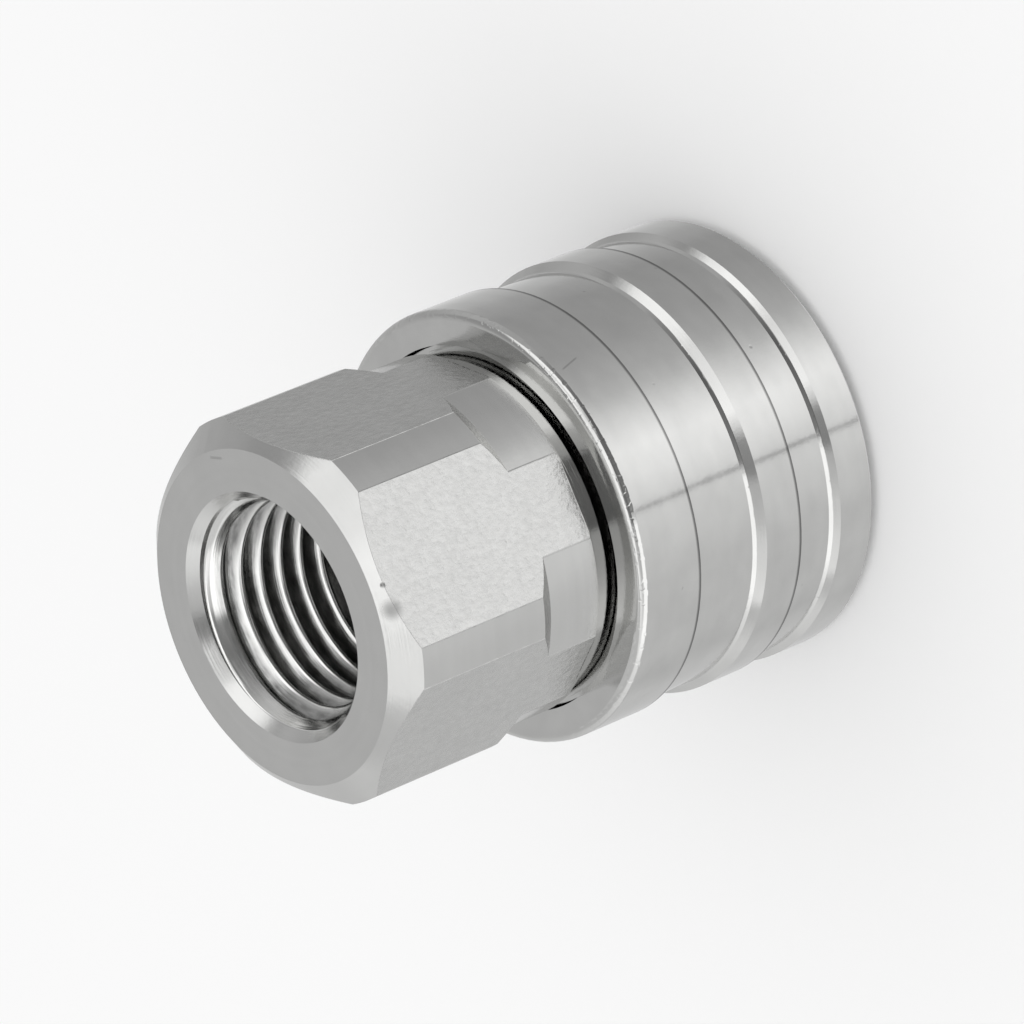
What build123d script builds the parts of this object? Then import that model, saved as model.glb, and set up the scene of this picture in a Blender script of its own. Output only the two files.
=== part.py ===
from build123d import *
import math
import os

# Quick coupler socket of stainless steel for a pressure washer hose, in millimetres.
# It stands on its nose: +Z runs from the plug end up to the pipe end, and the coupler's axis is the Z axis.

# Lengths along the axis
overall_length = 34.0
hex_length = 11.05
neck_length = 3.85
sleeve_nose_gap = 0.4
sleeve_length = 17.7
sleeve_travel = 4.0

# Pipe end of the body
hex_across_flats = 20.64
hex_corner_diameter = 22.52
neck_corner_diameter = 21.22
end_face_diameter = 19.4
end_chamfer_length = 1.25
hex_step_length = 1.0
guide_relief = 0.04

# Bore for the pipe thread, at the thread's full depth
thread_bore_diameter = 13.5
thread_mouth_diameter = 14.5
thread_mouth_depth = 0.6
thread_depth = 13.5
drill_point_angle = 118.0

# Waterway, and the stepped bore that takes the plug
waterway_diameter = 7.2
socket_diameter = 11.9
socket_mouth_bevel = 0.6
socket_depth = 9.2
seal_bore_diameter = 9.7
seal_bore_length = 6.0
bore_step_angle = 45.0

# Barrel of the body, which carries the sleeve, the balls and the spring
barrel_diameter = 16.0
nose_bevel = 0.3
collar_length = 1.0
squeezed_spring_length = 3.0

# Seal and backup ring, with the groove that holds them
seal_wire_diameter = 2.0
seal_squeeze = 0.28
seal_seat_play = 0.02
backup_ring_thickness = 1.1
seal_groove_lip = 0.7
seal_groove_slack = 0.3
backup_ring_bore_play = 0.05

# Locking balls in their holes
ball_count = 8
ball_diameter = 3.175
ball_height = 6.4
ball_land_gap = 0.13
ball_hole_play = 0.05
ball_lip_play = 0.03
ball_lip_height = 0.25

# Snap ring in the nose of the barrel
ring_groove_height = 0.95
ring_groove_depth = 0.5
ring_thickness = 1.0
ring_width = 2.3
ring_side_play = 0.05
ring_root_play = 0.05
ring_gap = 3.0

# Inside of the lock sleeve
land_fit = 0.1
collar_fit = 0.1
land_length = 3.2
ramp_start_below_ball = 0.2
ramp_slope = 0.3
counterbore_ring_gap = 0.25
sleeve_ring_gap = 0.05
rear_gap = 0.45
bore_edge_bevel = 0.2

# Outside of the lock sleeve, from its rear face to its nose
rear_band_diameter = 25.4
rear_edge_radius = 0.5
rear_band_length = 4.44
rear_groove_diameter = 24.6
rear_groove_length = 4.92
front_band_diameter = 25.6
middle_band_length = 2.64
front_groove_diameter = 24.8
front_groove_length = 3.04
groove_run_in = 0.25
groove_foot_radius = 0.35
front_bevel = 0.3

# Spring round the barrel
spring_wire_diameter = 0.9
spring_coil_diameter = 18.7
spring_turns = 2.25
spring_seat_gap = 0.03

# Heights that follow from the sizes above
hex_foot = overall_length - hex_length
flats_end = hex_foot - neck_length
sleeve_rear = sleeve_nose_gap + sleeve_length
barrel_radius = barrel_diameter / 2
guide_radius = hex_across_flats / 2 - guide_relief
land_radius = barrel_radius + land_fit
chamber_radius = guide_radius + rear_gap
collar_radius = chamber_radius - collar_fit
ball_radius = ball_diameter / 2
ramp_start = ball_height - ramp_start_below_ball
land_rear = ramp_start + land_length
spring_seat = land_rear + sleeve_travel + squeezed_spring_length
ring_inner_radius = barrel_radius - ring_groove_depth + ring_root_play
ring_outer_radius = ring_inner_radius + ring_width
ring_foot = ring_groove_height + ring_side_play
ring_top = ring_foot + ring_thickness
counterbore_radius = ring_outer_radius + counterbore_ring_gap
counterbore_top = ring_top + sleeve_ring_gap


def turned(points):
    """A solid of revolution about the Z axis from corners given as (radius, height)."""
    outline = Polyline(*[(radius, 0, height) for radius, height in points], close=True)
    return revolve(make_face(outline), Axis.Z, 360)


def ring_edges(solid, radius, height):
    """The circular edges of a solid at one radius and height."""
    found = []
    for edge in solid.edges().filter_by(GeomType.CIRCLE):
        if abs(edge.radius - radius) < 0.001 and abs(edge.arc_center.Z - height) < 0.001:
            found.append(edge)
    return found


def tube(inner_radius, outer_radius, foot, top):
    """A plain ring about the Z axis."""
    return turned([(inner_radius, foot), (outer_radius, foot), (outer_radius, top), (inner_radius, top)])


# Body: one piece, turned from hexagonal bar.
# The outline runs up the outside from the nose and comes back down through the bores.
collar_top = spring_seat + collar_length
socket_step = (socket_diameter - seal_bore_diameter) / 2 / math.tan(math.radians(bore_step_angle))
seal_bore_foot = socket_depth + socket_step
seal_bore_top = seal_bore_foot + seal_bore_length
waterway_step = (seal_bore_diameter - waterway_diameter) / 2 / math.tan(math.radians(bore_step_angle))
thread_foot = overall_length - thread_depth
guide_step = neck_corner_diameter / 2 - guide_radius
drill_point = (thread_bore_diameter - waterway_diameter) / 2 / math.tan(math.radians(drill_point_angle / 2))
ring_groove_top = ring_groove_height + ring_thickness + 2 * ring_side_play

body_outline = [
    (socket_diameter / 2 + socket_mouth_bevel, 0),
    (barrel_radius - nose_bevel, 0),
    (barrel_radius, nose_bevel),
    (barrel_radius, ring_groove_height),
    (barrel_radius - ring_groove_depth, ring_groove_height),
    (barrel_radius - ring_groove_depth, ring_groove_top),
    (barrel_radius, ring_groove_top),
    (barrel_radius, spring_seat),
    (collar_radius, spring_seat),
    (collar_radius, collar_top),
    (guide_radius, collar_top),
    (guide_radius, flats_end),
    (neck_corner_diameter / 2, flats_end + guide_step),
    (neck_corner_diameter / 2, hex_foot),
    (hex_corner_diameter / 2, hex_foot + hex_step_length),
    (hex_corner_diameter / 2, overall_length - end_chamfer_length),
    (end_face_diameter / 2, overall_length),
    (thread_mouth_diameter / 2, overall_length),
    (thread_bore_diameter / 2, overall_length - thread_mouth_depth),
    (thread_bore_diameter / 2, thread_foot),
    (waterway_diameter / 2, thread_foot - drill_point),
    (waterway_diameter / 2, seal_bore_top + waterway_step),
    (seal_bore_diameter / 2, seal_bore_top),
    (seal_bore_diameter / 2, seal_bore_foot),
    (socket_diameter / 2, socket_depth),
    (socket_diameter / 2, socket_mouth_bevel),
]
coupler_body = turned(body_outline)

# The six flats are the faces of the bar itself. They run down the neck and end where the round guide begins.
flats_height = overall_length - flats_end
hex_bar = extrude(RegularPolygon(hex_across_flats / 2, 6, major_radius=False), flats_height)
bar_waste = Pos(0, 0, flats_height / 2) * Cylinder(hex_corner_diameter, flats_height) - hex_bar
coupler_body -= Pos(0, 0, flats_end) * bar_waste

# Groove in the seal bore, wide enough for the seal and the backup ring side by side
seal_inner_radius = seal_bore_diameter / 2 - seal_squeeze
seal_groove_radius = seal_inner_radius + seal_wire_diameter + seal_seat_play
seal_groove_length = seal_wire_diameter + backup_ring_thickness + seal_groove_slack
seal_groove_foot = seal_bore_foot + seal_groove_lip
seal_groove_top = seal_groove_foot + seal_groove_length
seal_groove = tube(seal_bore_diameter / 4, seal_groove_radius, seal_groove_foot, seal_groove_top)
coupler_body -= seal_groove

# Ball holes: drilled from outside, with a lip at the bore that keeps the ball from falling in
ball_seat_radius = land_radius - ball_land_gap - ball_radius
ball_hole_radius = ball_radius + ball_hole_play
lip_level = socket_diameter / 2
ball_at_lip = math.sqrt(ball_radius**2 - (ball_seat_radius - lip_level) ** 2)
lip_radius = ball_at_lip + ball_lip_play
ball_hole = turned([
    (0, lip_level - ball_radius),
    (lip_radius, lip_level - ball_radius),
    (lip_radius, lip_level),
    (ball_hole_radius, lip_level + ball_lip_height),
    (ball_hole_radius, barrel_radius + ball_radius),
    (0, barrel_radius + ball_radius),
])
for index in range(ball_count):
    turn = 360 * index / ball_count
    coupler_body -= Pos(0, 0, ball_height) * Rot(0, 0, turn) * Rot(0, 90, 0) * ball_hole

# Locking balls, each resting just inside the sleeve's land
locking_balls = []
for index in range(ball_count):
    turn = 360 * index / ball_count
    ball = Pos(0, 0, ball_height) * Rot(0, 0, turn) * Pos(ball_seat_radius, 0, 0) * Sphere(ball_radius)
    locking_balls.append(ball)

# Seal and backup ring. Pressure pushes the seal towards the nose, so the backup ring lies on that side.
seal_slack = seal_groove_slack / 3
backup_foot = seal_groove_foot + seal_slack
backup_top = backup_foot + backup_ring_thickness
seal_middle = backup_top + seal_slack + seal_wire_diameter / 2
seal_middle_radius = seal_inner_radius + seal_wire_diameter / 2
plug_seal_ring = Pos(0, 0, seal_middle) * Torus(seal_middle_radius, seal_wire_diameter / 2)
backup_inner = seal_bore_diameter / 2 + backup_ring_bore_play
backup_outer = seal_groove_radius - seal_seat_play
backup_ring = tube(backup_inner, backup_outer, backup_foot, backup_top)

# Snap ring: a flat split ring in the nose groove, open at one side
retaining_ring = tube(ring_inner_radius, ring_outer_radius, ring_foot, ring_top)
ring_opening = Box(2 * ring_outer_radius, ring_gap, 3 * ring_thickness)
retaining_ring -= Pos(ring_outer_radius, 0, ring_foot + ring_thickness / 2) * ring_opening

# Lock sleeve. Inside, from the nose up: counterbore over the snap ring, ramp that lets the balls out, land that holds
# them in, and spring chamber. Outside: three bands with two grip grooves between them.
ramp_foot_radius = land_radius + ramp_slope * (ramp_start - counterbore_top)
rear_radius = rear_band_diameter / 2
rear_groove_radius = rear_groove_diameter / 2
front_radius = front_band_diameter / 2
front_groove_radius = front_groove_diameter / 2
rear_groove_top = sleeve_rear - rear_band_length
rear_groove_foot = rear_groove_top - rear_groove_length
rear_groove_rise = front_radius - rear_groove_radius
front_groove_top = rear_groove_foot - middle_band_length
front_groove_foot = front_groove_top - front_groove_length
front_groove_rise = front_radius - front_groove_radius

sleeve_outline = [
    (counterbore_radius + bore_edge_bevel, sleeve_nose_gap),
    (front_radius - front_bevel, sleeve_nose_gap),
    (front_radius, sleeve_nose_gap + front_bevel),
    (front_radius, front_groove_foot),
    (front_groove_radius, front_groove_foot + front_groove_rise),
    (front_groove_radius, front_groove_top - groove_run_in),
    (front_radius, front_groove_top),
    (front_radius, rear_groove_foot),
    (rear_groove_radius, rear_groove_foot + rear_groove_rise),
    (rear_groove_radius, rear_groove_top - groove_run_in),
    (rear_radius, rear_groove_top),
    (rear_radius, sleeve_rear),
    (chamber_radius, sleeve_rear),
    (chamber_radius, land_rear),
    (land_radius, land_rear),
    (land_radius, ramp_start),
    (ramp_foot_radius, counterbore_top),
    (counterbore_radius, counterbore_top),
    (counterbore_radius, sleeve_nose_gap + bore_edge_bevel),
]
lock_sleeve = turned(sleeve_outline)
groove_feet = ring_edges(lock_sleeve, rear_groove_radius, rear_groove_foot + rear_groove_rise)
groove_feet += ring_edges(lock_sleeve, front_groove_radius, front_groove_foot + front_groove_rise)
lock_sleeve = fillet(groove_feet, groove_foot_radius)
lock_sleeve = fillet(ring_edges(lock_sleeve, rear_radius, sleeve_rear), rear_edge_radius)

# Spring: round wire between the sleeve's land and the body's collar
wire_radius = spring_wire_diameter / 2
spring_foot = land_rear + spring_seat_gap + wire_radius
spring_rise = spring_seat - spring_seat_gap - wire_radius - spring_foot
coil = Helix(spring_rise / spring_turns, spring_rise, spring_coil_diameter / 2)
wire_end = Plane(origin=coil @ 0, z_dir=coil % 0) * Circle(wire_radius)
sleeve_spring = Pos(0, 0, spring_foot) * sweep(wire_end, path=coil, is_frenet=True)

pieces = {
    "coupler_body": coupler_body,
    "lock_sleeve": lock_sleeve,
    "sleeve_spring": sleeve_spring,
    "retaining_ring": retaining_ring,
    "plug_seal_ring": plug_seal_ring,
    "backup_ring": backup_ring,
}
for number, ball in enumerate(locking_balls, start=1):
    pieces[f"locking_ball_{number}"] = ball

os.makedirs("parts", exist_ok=True)
for name, piece in pieces.items():
    export_step(piece, f"parts/{name}.step")
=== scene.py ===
import math

import bpy
from mathutils import Matrix, Vector


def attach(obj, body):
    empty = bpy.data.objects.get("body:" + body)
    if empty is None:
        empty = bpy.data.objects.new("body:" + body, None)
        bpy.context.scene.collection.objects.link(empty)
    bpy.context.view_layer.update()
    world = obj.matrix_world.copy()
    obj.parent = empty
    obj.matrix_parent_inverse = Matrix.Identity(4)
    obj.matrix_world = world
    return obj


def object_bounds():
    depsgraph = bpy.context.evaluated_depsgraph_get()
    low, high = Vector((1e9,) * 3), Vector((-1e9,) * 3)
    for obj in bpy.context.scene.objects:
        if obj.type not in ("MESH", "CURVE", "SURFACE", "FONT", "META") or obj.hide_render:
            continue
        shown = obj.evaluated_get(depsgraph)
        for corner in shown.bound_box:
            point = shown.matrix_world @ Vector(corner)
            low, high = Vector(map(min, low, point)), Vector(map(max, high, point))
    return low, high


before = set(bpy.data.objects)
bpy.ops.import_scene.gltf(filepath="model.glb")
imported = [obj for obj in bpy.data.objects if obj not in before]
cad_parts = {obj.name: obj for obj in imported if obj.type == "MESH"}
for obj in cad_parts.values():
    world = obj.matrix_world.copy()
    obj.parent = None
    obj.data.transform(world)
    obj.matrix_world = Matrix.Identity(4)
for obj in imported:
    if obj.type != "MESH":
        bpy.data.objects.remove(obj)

cad_box = [list(corner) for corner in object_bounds()]


# Coupler body: one piece of stainless steel, turned from hexagonal bar. The flats keep the bar's rolled,
# finely pitted skin. Every other face is cut on the lathe and carries fine tool lines round the axis.
class Socket:
    """A value in a material: Python arithmetic on it adds the Math nodes."""

    def __init__(self, material, socket):
        self.material = material
        self.socket = socket

    def math(self, operation, *others):
        return self.material.node("ShaderNodeMath", {"operation": operation}, [self, *others])

    def __add__(self, other):
        return self.math("ADD", other)

    def __radd__(self, other):
        return self.math("ADD", other)

    def __sub__(self, other):
        return self.math("SUBTRACT", other)

    def __rsub__(self, other):
        return self.material.node("ShaderNodeMath", {"operation": "SUBTRACT"}, [other, self])

    def __mul__(self, other):
        return self.math("MULTIPLY", other)

    def __rmul__(self, other):
        return self.math("MULTIPLY", other)

    def step(self, low, high):
        """0 below low, 1 above high, and smooth between."""
        return self.material.node(
            "ShaderNodeMapRange",
            {"interpolation_type": "SMOOTHSTEP"},
            {"Value": self, "From Min": low, "From Max": high},
        )


class Shading:
    """A node tree of a material or of the world, with one method that adds any node."""

    def __init__(self, block):
        block.use_nodes = True
        self.block = block
        self.tree = block.node_tree
        self.shader = self.tree.nodes.get("Principled BSDF")

    def connect(self, target, value):
        if isinstance(value, Socket):
            self.tree.links.new(value.socket, target)
        elif isinstance(value, (tuple, list)) and len(value) == 3 and target.type == "RGBA":
            target.default_value = (*value, 1.0)
        else:
            target.default_value = value

    def node(self, kind, settings=None, values=None, output=0):
        made = self.tree.nodes.new(kind)
        for key, setting in (settings or {}).items():
            if key == "stops":
                ramp = made.color_ramp.elements
                for position, _ in setting[1:-1]:
                    ramp.new(position)
                for element, (position, level) in zip(ramp, setting):
                    element.position = position
                    element.color = (level, level, level, 1.0)
            else:
                setattr(made, key, setting)
        pairs = values.items() if isinstance(values, dict) else enumerate(values or [])
        for key, value in pairs:
            self.connect(made.inputs[key], value)
        return Socket(self, made.outputs[output])

    def connect_output(self, name, value):
        self.tree.links.new(value.socket, self.tree.nodes[name].inputs[0])

    def blend(self, factor, first, second):
        """A colour between two colours."""
        return self.node("ShaderNodeMix", {"data_type": "RGBA"}, {0: factor, 6: first, 7: second}, output=2)

    def parts(self, vector):
        """The x, y and z of a vector."""
        split = self.node("ShaderNodeSeparateXYZ", None, [vector]).socket.node
        return [Socket(self, output) for output in split.outputs]

    def place(self):
        """The point of the object that is shaded, in metres."""
        return self.node("ShaderNodeTexCoord", output=3)

    def look(self):
        """The direction in which the world is seen."""
        return self.node("ShaderNodeTexCoord")

    def round_the_axis(self, x, y):
        """The distance from the coupler's axis."""
        return (x * x + y * y).math("POWER", 0.5)

    def noise(self, detail, roughness, x, y, z):
        """Noise over a point given by three values, with one grain to each unit."""
        at = self.node("ShaderNodeCombineXYZ", None, [x, y, z])
        values = {"Vector": at, "Scale": 1.0, "Detail": detail, "Roughness": roughness}
        return self.node("ShaderNodeTexNoise", None, values)

    def spot(self, where, at, size, soft):
        """1 inside a round mark at one point of the surface, fading out at its rim."""
        gap = self.node("ShaderNodeVectorMath", {"operation": "DISTANCE"}, [where, at], output=1)
        return 1 - gap.step(size * (1 - soft), size)

    def bump(self, height, distance):
        """A bumped normal, where a height of 1 stands out by the distance."""
        return self.node("ShaderNodeBump", None, {"Height": height, "Distance": distance, "Strength": 1.0})

    def finish(self, values):
        """Feeds the shader and gives back the finished material."""
        for key, value in values.items():
            self.connect(self.shader.inputs[key], value)
        return self.block


def dress(node, block):
    """Gives a CAD node its finished material."""
    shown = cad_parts[node]
    for index in range(len(shown.material_slots)):
        shown.material_slots[index].link = "DATA"
        shown.material_slots[index].material = block


mm = 0.001
flat_reach = 10.32 * mm
body_top = cad_box[1][2]
flats_foot = 19.45 * mm

steel = Shading(bpy.data.materials.new("turned_bar_steel"))
where = steel.place()
x, y, z = steel.parts(where)
reach = steel.round_the_axis(x, y)

# The flats: the three pairs of faces of the bar, told apart by how far they stand from the axis
facing = [math.radians(30 + 60 * i) for i in range(3)]
apart = [x * math.cos(angle) + y * math.sin(angle) for angle in facing]
widest = apart[0].math("ABSOLUTE")
for pair in apart[1:]:
    widest = widest.math("MAXIMUM", pair.math("ABSOLUTE"))
on_flat = widest.step(flat_reach - 0.03 * mm, flat_reach - 0.01 * mm)
rolled = on_flat * z.step(flats_foot - 0.10 * mm, flats_foot)
turned = 1 - rolled

# Rolled skin: a fine orange peel of shallow bumps
peel = steel.noise(2.0, 0.55, x * 2600, y * 2600, z * 2100)
fine_peel = steel.noise(2.0, 0.6, x * 7000, y * 7000, z * 6000)
skin_height = peel * 0.036 + fine_peel * 0.007

# Tool lines: fine rings that follow the height on the sides and the radius on the end face
rings = steel.noise(3.0, 0.7, reach * 9000, z * 9000, 0.0)
slow_rings = steel.noise(1.0, 0.5, reach * 1500, z * 1500, 7.0)
grain = steel.noise(2.0, 0.6, x * 4000, y * 4000, z * 4000)
clouds = steel.noise(2.0, 0.5, x * 450, y * 450, z * 450)
turned_height = rings * 0.004 + slow_rings * 0.003 + grain * 0.003
height = turned_height * turned + skin_height * rolled

# The sloped foot of the hexagon: a painted highlight on the side where x is above zero, and painted shade
# on the other side
slope_low = 22.95 * mm
slope_high = 23.95 * mm
above_low = z.step(slope_low - 0.05 * mm, slope_low + 0.05 * mm)
above_high = z.step(slope_high - 0.05 * mm, slope_high + 0.05 * mm)
slope = above_low * (1 - above_high) * turned
painted_foot_light = slope * (x.step(-1 * mm, 1 * mm) * 0.42 - 0.20)

# Knocks: a pit and a grey rub where a flat meets the end chamfer, and a nick on the end face
pit_place = (-0.6 * mm, -10.35 * mm, 33.6 * mm)
pit = steel.spot(where, pit_place, 0.24 * mm, 0.7)
rub_place = (-2.0 * mm, -10.1 * mm, 33.5 * mm)
rub = steel.spot(where, rub_place, 0.80 * mm, 0.9)
nick_across = (0.957, -0.288)
nick_distance = 9.11 * mm
nick_line = (x * nick_across[0] + y * nick_across[1] - nick_distance).math("ABSOLUTE")
nick_along = x * nick_across[1] - y * nick_across[0]
nick = (1 - nick_line.step(0.03 * mm, 0.12 * mm)) * z.step(body_top - 0.20 * mm, body_top - 0.05 * mm)
nick = nick * nick_along.step(-2.45 * mm, -2.20 * mm) * (1 - nick_along.step(-1.40 * mm, -1.15 * mm))
knocks = pit * 0.40 + rub * 0.22 + nick * 0.12

shade = 0.61 + (clouds - 0.5) * 0.06
shade = shade + (slow_rings - 0.5) * 0.04 * turned + (peel - 0.5) * 0.14 * rolled

# The guide under the hexagon is polished by the sleeve that runs on it
guide = 1 - z.step(flats_foot - 0.05 * mm, flats_foot + 0.05 * mm)
gloss = 0.19 + rolled * 0.08 + (grain - 0.5) * 0.08 + rub * 0.2 - guide * 0.12
dress("coupler_body", steel.finish({
    "Base Color": steel.blend(shade - knocks + painted_foot_light, (0.0, 0.0, 0.0), (1.0, 1.0, 0.985)),
    "Metallic": 1.0,
    "Roughness": gloss,
    "Normal": steel.bump(height - pit * 0.02 - nick * 0.02, mm),
}))


# Pipe thread: a female taper thread, 18 threads to the inch, cut in the steel body's bore by a tap.
# The bore itself is drawn at the thread's full depth, and this ridge stands on it. A steep countersink
# at the mouth cuts its first crests back.
pitch = 25.4 / 18 * mm
bore_radius = 6.75 * mm
crest_radius = 5.78 * mm
crest_width = 0.10 * pitch
root_width = 0.94 * pitch
taper = 1 / 32
thread_start = body_top - 0.35 * mm
thread_end = 20.75 * mm
countersink_depth = 0.6 * mm
ridge_top = body_top - countersink_depth - 0.005 * mm
gauge_depth = 8.0 * mm
run_out_turns = 0.6
buried = 0.06 * mm
countersink_slope = 0.5
points_a_turn = 120
points_across = 16
turns = (thread_start - thread_end) / pitch


def ridge_radius(height_here, offset, run_out):
    """How far from the axis the ridge's surface is, at one height and one place across the ridge."""
    depth = body_top - height_here - offset
    crest = crest_radius + taper * (gauge_depth - depth)
    flank = (abs(offset) - crest_width / 2) / (root_width / 2 - crest_width / 2)
    radius = crest + (bore_radius - crest) * min(1.0, max(0.0, flank))
    radius = bore_radius - (bore_radius - radius) * run_out
    countersink = bore_radius - countersink_slope * (depth - countersink_depth)
    return min(bore_radius - 0.001 * mm, max(radius, countersink))


steps = int(turns * points_a_turn)
corners = []
for step in range(steps + 1):
    angle = -2 * math.pi * step / points_a_turn
    height_here = thread_start - pitch * step / points_a_turn
    run_out = min(1.0, (steps - step) / (run_out_turns * points_a_turn))
    top = min(root_width / 2, ridge_top - height_here)
    across = [top - (top + root_width / 2) * i / points_across for i in range(points_across + 1)]
    section = [(ridge_radius(height_here, offset, run_out), offset) for offset in across]
    section = [(bore_radius + buried, across[0]), *section, (bore_radius + buried, across[-1])]
    for radius, offset in section:
        corners.append((radius * math.cos(angle), radius * math.sin(angle), height_here + offset))
sides = points_across + 3
faces = [tuple(range(sides)), tuple(reversed(range(steps * sides, steps * sides + sides)))]
for step in range(steps):
    for side in range(sides):
        a = step * sides + side
        b = step * sides + (side + 1) % sides
        faces.append((a, a + sides, b + sides, b))
mesh = bpy.data.meshes.new("pipe_thread")
mesh.from_pydata(corners, [], faces)
mesh.update()
pipe_thread = bpy.data.objects.new("pipe_thread", mesh)
bpy.context.collection.objects.link(pipe_thread)
for face in mesh.polygons:
    face.use_smooth = True
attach(pipe_thread, "body")

tapped = Shading(bpy.data.materials.new("tapped_steel"))
x, y, z = tapped.parts(tapped.place())
reach = tapped.round_the_axis(x, y)
tears = tapped.noise(3.0, 0.6, reach * 9000, z * 3000, 0.0)
smears = tapped.noise(2.0, 0.5, x * 900, y * 900, z * 4500)

# The crests keep a bright steel tone. Painted shade darkens the roots and flanks below the crests, except
# near the mouth.
crest_shade = 0.76 + (smears - 0.5) * 0.10
below_crest = reach - (crest_radius + taper * (z - (body_top - gauge_depth)))
mouth_without_painted_shade = z.step(body_top - 1.7 * mm, body_top - 1.2 * mm)
painted_root_shade = below_crest.step(0.08 * mm, 0.42 * mm) * (1 - mouth_without_painted_shade) * (0.38 - (smears - 0.5) * 0.6)
pipe_thread.data.materials.append(tapped.finish({
    "Base Color": tapped.blend(crest_shade - painted_root_shade, (0.0, 0.0, 0.0), (1.0, 1.0, 0.985)),
    "Metallic": 1.0,
    "Roughness": 0.14 + smears * 0.08,
    "Normal": tapped.bump(tears, 0.008 * mm),
}))


# Lock sleeve: turned from round stainless bar, with two grip grooves, and polished in the lathe to a satin
# finish. It slides on the body's barrel and is drawn back towards the hexagon by hand.
sleeve_rear = 18.10 * mm
rear_edge_radius = 0.50 * mm
groove_corners = (13.66 * mm, 6.10 * mm)

satin = Shading(bpy.data.materials.new("satin_sleeve_steel"))
where = satin.place()
x, y, z = satin.parts(where)
reach = satin.round_the_axis(x, y)
rings = satin.noise(3.0, 0.7, reach * 7000, z * 7000, 0.0)
slow_rings = satin.noise(2.0, 0.5, reach * 900, z * 900, 3.0)
grain = satin.noise(2.0, 0.6, x * 3500, y * 3500, z * 3500)
clouds = satin.noise(2.0, 0.5, x * 420, y * 420, z * 620)
specks = 1 - satin.noise(1.0, 0.5, x * 1300, y * 1300, z * 1300).step(0.17, 0.21)

# Painted shade: a thin dark line at the sharp corner where a band drops into its groove
painted_band_edge_shade = 0
for corner in groove_corners:
    painted_band_edge_shade = 1 - (z - corner).math("ABSOLUTE").step(0.07 * mm, 0.24 * mm) + painted_band_edge_shade

# Knocks: one scratch across the rear band, small nicks, and dents along the rear edge
scratch_distance = 4.80 * mm
scratch_line = (x * 0.848 + y * 0.530 + z * 0.287 - scratch_distance).math("ABSOLUTE")
scratch = (1 - scratch_line.step(0.02 * mm, 0.09 * mm)) * x.step(5 * mm, 6 * mm)
scratch = scratch * z.step(15.8 * mm, 16.1 * mm) * (1 - z.step(17.1 * mm, 17.4 * mm))
nick_places = (
    (9.98, -7.85, 13.4),
    (10.26, -6.9, 10.8),
    (4.04, -11.72, 12.4),
    (3.9, -11.77, 5.2),
    (-5.95, -10.9, 13.5),
)
nicks = 0
for nick_place in nick_places:
    nicks = satin.spot(where, tuple(value * mm for value in nick_place), 0.15 * mm, 0.8) + nicks
edge_foot = sleeve_rear - rear_edge_radius
on_edge = z.step(edge_foot + 0.02 * mm, edge_foot + 0.12 * mm) * reach.step(12.30 * mm, 12.40 * mm)
edge_dents = satin.noise(1.0, 0.5, x * 2600, y * 2600, z * 1500).step(0.56, 0.64) * on_edge

depth = specks * 0.004 + nicks * 0.01 + edge_dents * 0.008
# Real nicks, scratch and specks, together with the painted shade line at the band corners
marks_and_painted_shade = nicks * 0.16 + scratch * 0.16 + specks * 0.08 + painted_band_edge_shade * 0.42
shade = 0.61 + (slow_rings - 0.5) * 0.04 + (clouds - 0.5) * 0.12 - marks_and_painted_shade
dress("lock_sleeve", satin.finish({
    "Base Color": satin.blend(shade, (0.0, 0.0, 0.0), (1.0, 1.0, 0.985)),
    "Metallic": 1.0,
    "Roughness": 0.10 + (grain - 0.5) * 0.05 + (clouds - 0.5) * 0.05,
    "Normal": satin.bump(rings * 0.002 + grain * 0.002 - depth, mm),
}))


# Sleeve spring: hard-drawn stainless wire, wound cold. It sits on the barrel between the sleeve's land and
# the body's collar, and pushes the sleeve towards the nose.
wire = Shading(bpy.data.materials.new("drawn_spring_wire"))
x, y, z = wire.parts(wire.place())
draw_lines = wire.noise(3.0, 0.6, x * 900, y * 900, z * 9000)
dress("sleeve_spring", wire.finish({
    "Base Color": wire.blend(0.45 + (draw_lines - 0.5) * 0.2, (0.0, 0.0, 0.0), (1.0, 0.99, 0.96)),
    "Metallic": 1.0,
    "Roughness": 0.30 + (draw_lines - 0.5) * 0.15,
    "Normal": wire.bump(draw_lines, 0.005 * mm),
}))


# Retaining ring: stamped from spring steel strip and snapped into the groove at the nose.
# The sleeve rests on it.
stamped = Shading(bpy.data.materials.new("stamped_spring_steel"))
x, y, z = stamped.parts(stamped.place())
tumbled = stamped.noise(4.0, 0.6, x * 2500, y * 2500, z * 2500)
dress("retaining_ring", stamped.finish({
    "Base Color": stamped.blend(0.32 + (tumbled - 0.5) * 0.2, (0.0, 0.0, 0.0), (1.0, 0.98, 0.95)),
    "Metallic": 1.0,
    "Roughness": 0.38 + (tumbled - 0.5) * 0.2,
    "Normal": stamped.bump(tumbled, 0.01 * mm),
}))


# Locking balls: hard stainless balls, ground and lapped bright. They lie loose in eight holes drilled
# through the barrel, and the land inside the sleeve holds them in.
lapped = Shading(bpy.data.materials.new("lapped_ball_steel"))
x, y, z = lapped.parts(lapped.place())
lap_marks = lapped.noise(3.0, 0.6, x * 4000, y * 4000, z * 4000)
ball_steel = lapped.finish({
    "Base Color": lapped.blend(0.72 + (lap_marks - 0.5) * 0.06, (0.0, 0.0, 0.0), (1.0, 1.0, 0.99)),
    "Metallic": 1.0,
    "Roughness": 0.07 + lap_marks * 0.06,
    "Normal": lapped.bump(lap_marks, 0.001 * mm),
})
for number in range(1, 9):
    dress(f"locking_ball_{number}", ball_steel)


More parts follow.
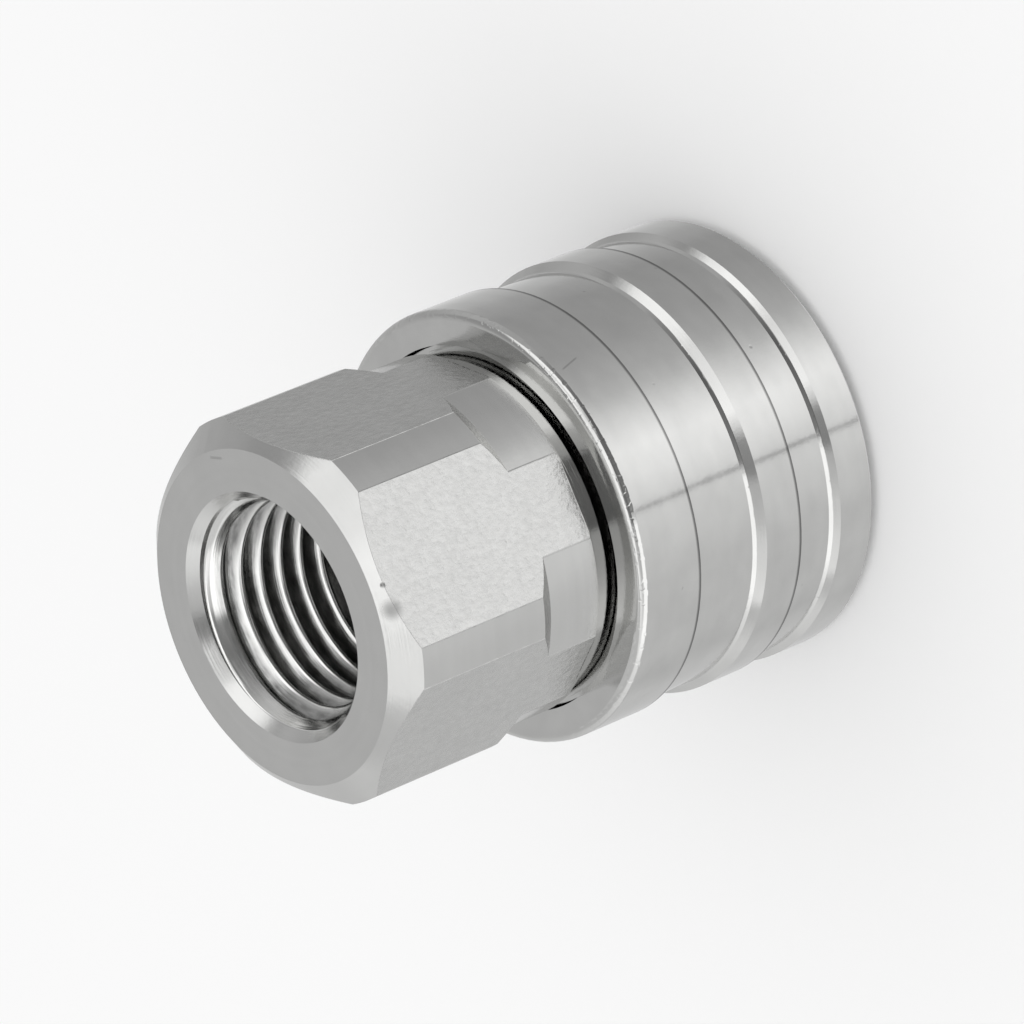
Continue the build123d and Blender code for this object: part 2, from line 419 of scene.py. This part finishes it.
# Plug seal: a moulded nitrile rubber ring, matt black, with a little grease on it. It lies in the groove of
# the plug's bore.
nitrile = Shading(bpy.data.materials.new("nitrile_rubber"))
x, y, z = nitrile.parts(nitrile.place())
mould_grain = nitrile.noise(4.0, 0.6, x * 3000, y * 3000, z * 3000)
dress("plug_seal_ring", nitrile.finish({
    "Base Color": nitrile.blend(mould_grain, (0.012, 0.012, 0.012), (0.035, 0.035, 0.034)),
    "Roughness": 0.35 + mould_grain * 0.25,
    "Normal": nitrile.bump(mould_grain, 0.01 * mm),
}))


# Backup ring: turned from white fluoropolymer rod. It lies beside the seal and keeps it from creeping out
# under pressure.
fluoro = Shading(bpy.data.materials.new("white_fluoropolymer"))
x, y, z = fluoro.parts(fluoro.place())
reach = fluoro.round_the_axis(x, y)
turn_lines = fluoro.noise(2.0, 0.6, reach * 6000, z * 6000, 0.0)
dress("backup_ring", fluoro.finish({
    "Base Color": fluoro.blend(turn_lines, (0.72, 0.71, 0.68), (0.84, 0.83, 0.80)),
    "Roughness": 0.45 + turn_lines * 0.15,
    "Normal": fluoro.bump(turn_lines, 0.01 * mm),
}))


# Studio: a plain pale floor under the standing coupler, in a white room. The polished steel doesn't see
# the floor. It sees a ring of soft panels at five heights, with a dark gap on the camera's side, which
# draws the bands on the sleeve.
half = 3.0
board_white = 0.90
floor_mesh = bpy.data.meshes.new("floor")
floor_corners = [(-half, -half, 0), (half, -half, 0), (half, half, 0), (-half, half, 0)]
floor_mesh.from_pydata(floor_corners, [], [(0, 1, 2, 3)])
floor = bpy.data.objects.new("floor", floor_mesh)
bpy.context.collection.objects.link(floor)

board = Shading(bpy.data.materials.new("pale_board"))
board.connect(board.shader.inputs["Base Color"], (board_white, board_white, board_white))
board.connect(board.shader.inputs["Roughness"], 0.9)
board.connect(board.shader.inputs["Specular IOR Level"], 0.0)
mirrored = board.node("ShaderNodeLightPath", output=3)
open_floor = board.node("ShaderNodeBsdfTransparent")
painted = Socket(board, board.shader.outputs[0])
choice = board.node("ShaderNodeMixShader", None, [mirrored, painted, open_floor])
board.connect_output("Material Output", choice)
floor_mesh.materials.append(board.block)

# Each ring of panels: where it fades into the next one up, and its brightness by compass bearing
brightest = 2.0
panels = [
    (-0.40, -0.30, [
        (0, 0.45), (10, 0.44), (20, 0.43), (30, 0.48), (40, 0.52), (50, 0.59), (60, 0.61), (80, 0.74),
        (100, 0.66), (120, 0.67), (135, 0.70), (150, 0.65), (165, 0.71), (210, 0.75), (230, 0.87),
        (248.8, 0.97), (249.6, 0.30), (250.6, 0.30), (251.4, 0.97), (266, 1.20), (280, 1.30), (290, 1.16),
        (300, 0.95), (310, 0.72), (320, 0.60), (340, 0.49),
    ]),
    (0.30, 0.45, [
        (0, 0.50), (20, 0.60), (45, 0.48), (70, 0.62), (120, 0.70), (175, 1.10), (190, 1.55), (246, 1.50),
        (254, 0.30), (300, 0.15), (330, 0.35), (345, 0.55),
    ]),
    (0.66, 0.72, [
        (0, 1.30), (4, 0.90), (12, 0.38), (45, 0.44), (60, 0.54), (90, 0.62), (135, 0.66), (174, 0.75),
        (178, 1.15), (200, 1.00), (215, 0.75), (243, 0.60), (246, 0.20), (291, 0.20), (294, 0.60),
        (308, 0.85), (316, 1.50), (350, 1.45),
    ]),
    (0.83, 0.88, [
        (0, 1.40), (4, 0.90), (12, 0.36), (45, 0.44), (90, 0.70), (174, 0.75), (178, 1.25), (205, 1.15),
        (215, 0.80), (236, 0.65), (243, 0.32), (262, 0.40), (270, 1.00), (280, 1.45), (296, 1.30),
        (320, 1.05), (350, 1.20),
    ]),
    (None, None, [
        (0, 1.45), (4, 1.20), (10, 0.36), (40, 0.40), (70, 0.90), (110, 1.00), (160, 0.75), (174, 0.75),
        (180, 1.40), (250, 1.45), (290, 1.45), (320, 1.25), (355, 1.45),
    ]),
]

studio = Shading(bpy.data.worlds.new("studio"))
bpy.context.scene.world = studio.block
dx, dy, dz = studio.parts(studio.look())
bearing = (dy.math("ARCTAN2", dx) * (0.5 / math.pi) + 1).math("FRACT")
seen_in_metal = None
below = None
for low, high, levels in panels:
    ring = [(degrees / 360, level / brightest) for degrees, level in levels]
    ring.append((1.0, levels[0][1] / brightest))
    panel_light = studio.node("ShaderNodeValToRGB", {"stops": ring}, {"Fac": bearing})
    if below is None:
        seen_in_metal = panel_light
    else:
        seen_in_metal = studio.blend(dz.step(*below), seen_in_metal, panel_light)
    below = (low, high)
mirrored = studio.node("ShaderNodeLightPath", output=3)
white = 1 / brightest
background = studio.tree.nodes["Background"]
studio.connect(background.inputs["Strength"], brightest)
studio.connect(background.inputs["Color"], studio.blend(mirrored, (white, white, white), seen_in_metal))

# One soft lamp gives the floor its faint shadow, and never shows in the metal
lamp = bpy.data.lights.new("key_softbox", "AREA")
lamp.shape = "SQUARE"
lamp.size = 0.50
lamp.energy = 0.6
key_softbox = bpy.data.objects.new("key_softbox", lamp)
bpy.context.collection.objects.link(key_softbox)
key_softbox.location = (-0.30, -0.35, 0.60)
toward = Vector((0, 0, 0.01)) - key_softbox.location
key_softbox.rotation_mode = "QUATERNION"
key_softbox.rotation_quaternion = toward.to_track_quat("-Z", "Y")
key_softbox.visible_glossy = False


# Camera: it stands where the photographer's stood, and looks down on the pipe end with a long lens and a
# tilted frame. Its directions and its place were fitted to the coupler's circles in the photograph.
camera_data = bpy.data.cameras.new("camera")
camera_data.sensor_width = 36.0
camera_data.lens = 289.17
camera_data.clip_start = 0.01
camera_data.clip_end = 20.0
camera = bpy.data.objects.new("camera", camera_data)
bpy.context.collection.objects.link(camera)
right = Vector((-0.376218, -0.55318, -0.743271))
up = Vector((0.92652, -0.220728, -0.304695))
back = Vector((0.00449, -0.803288, 0.595574))
stand = Vector((2.424 * mm, -369.743 * mm, 290.218 * mm))
camera.matrix_world = Matrix((
    (right.x, up.x, back.x, stand.x),
    (right.y, up.y, back.y, stand.y),
    (right.z, up.z, back.z, stand.z),
    (0, 0, 0, 1),
))
bpy.context.scene.camera = camera
bpy.context.scene.view_settings.view_transform = "Standard"

bpy.context.view_layer.update()
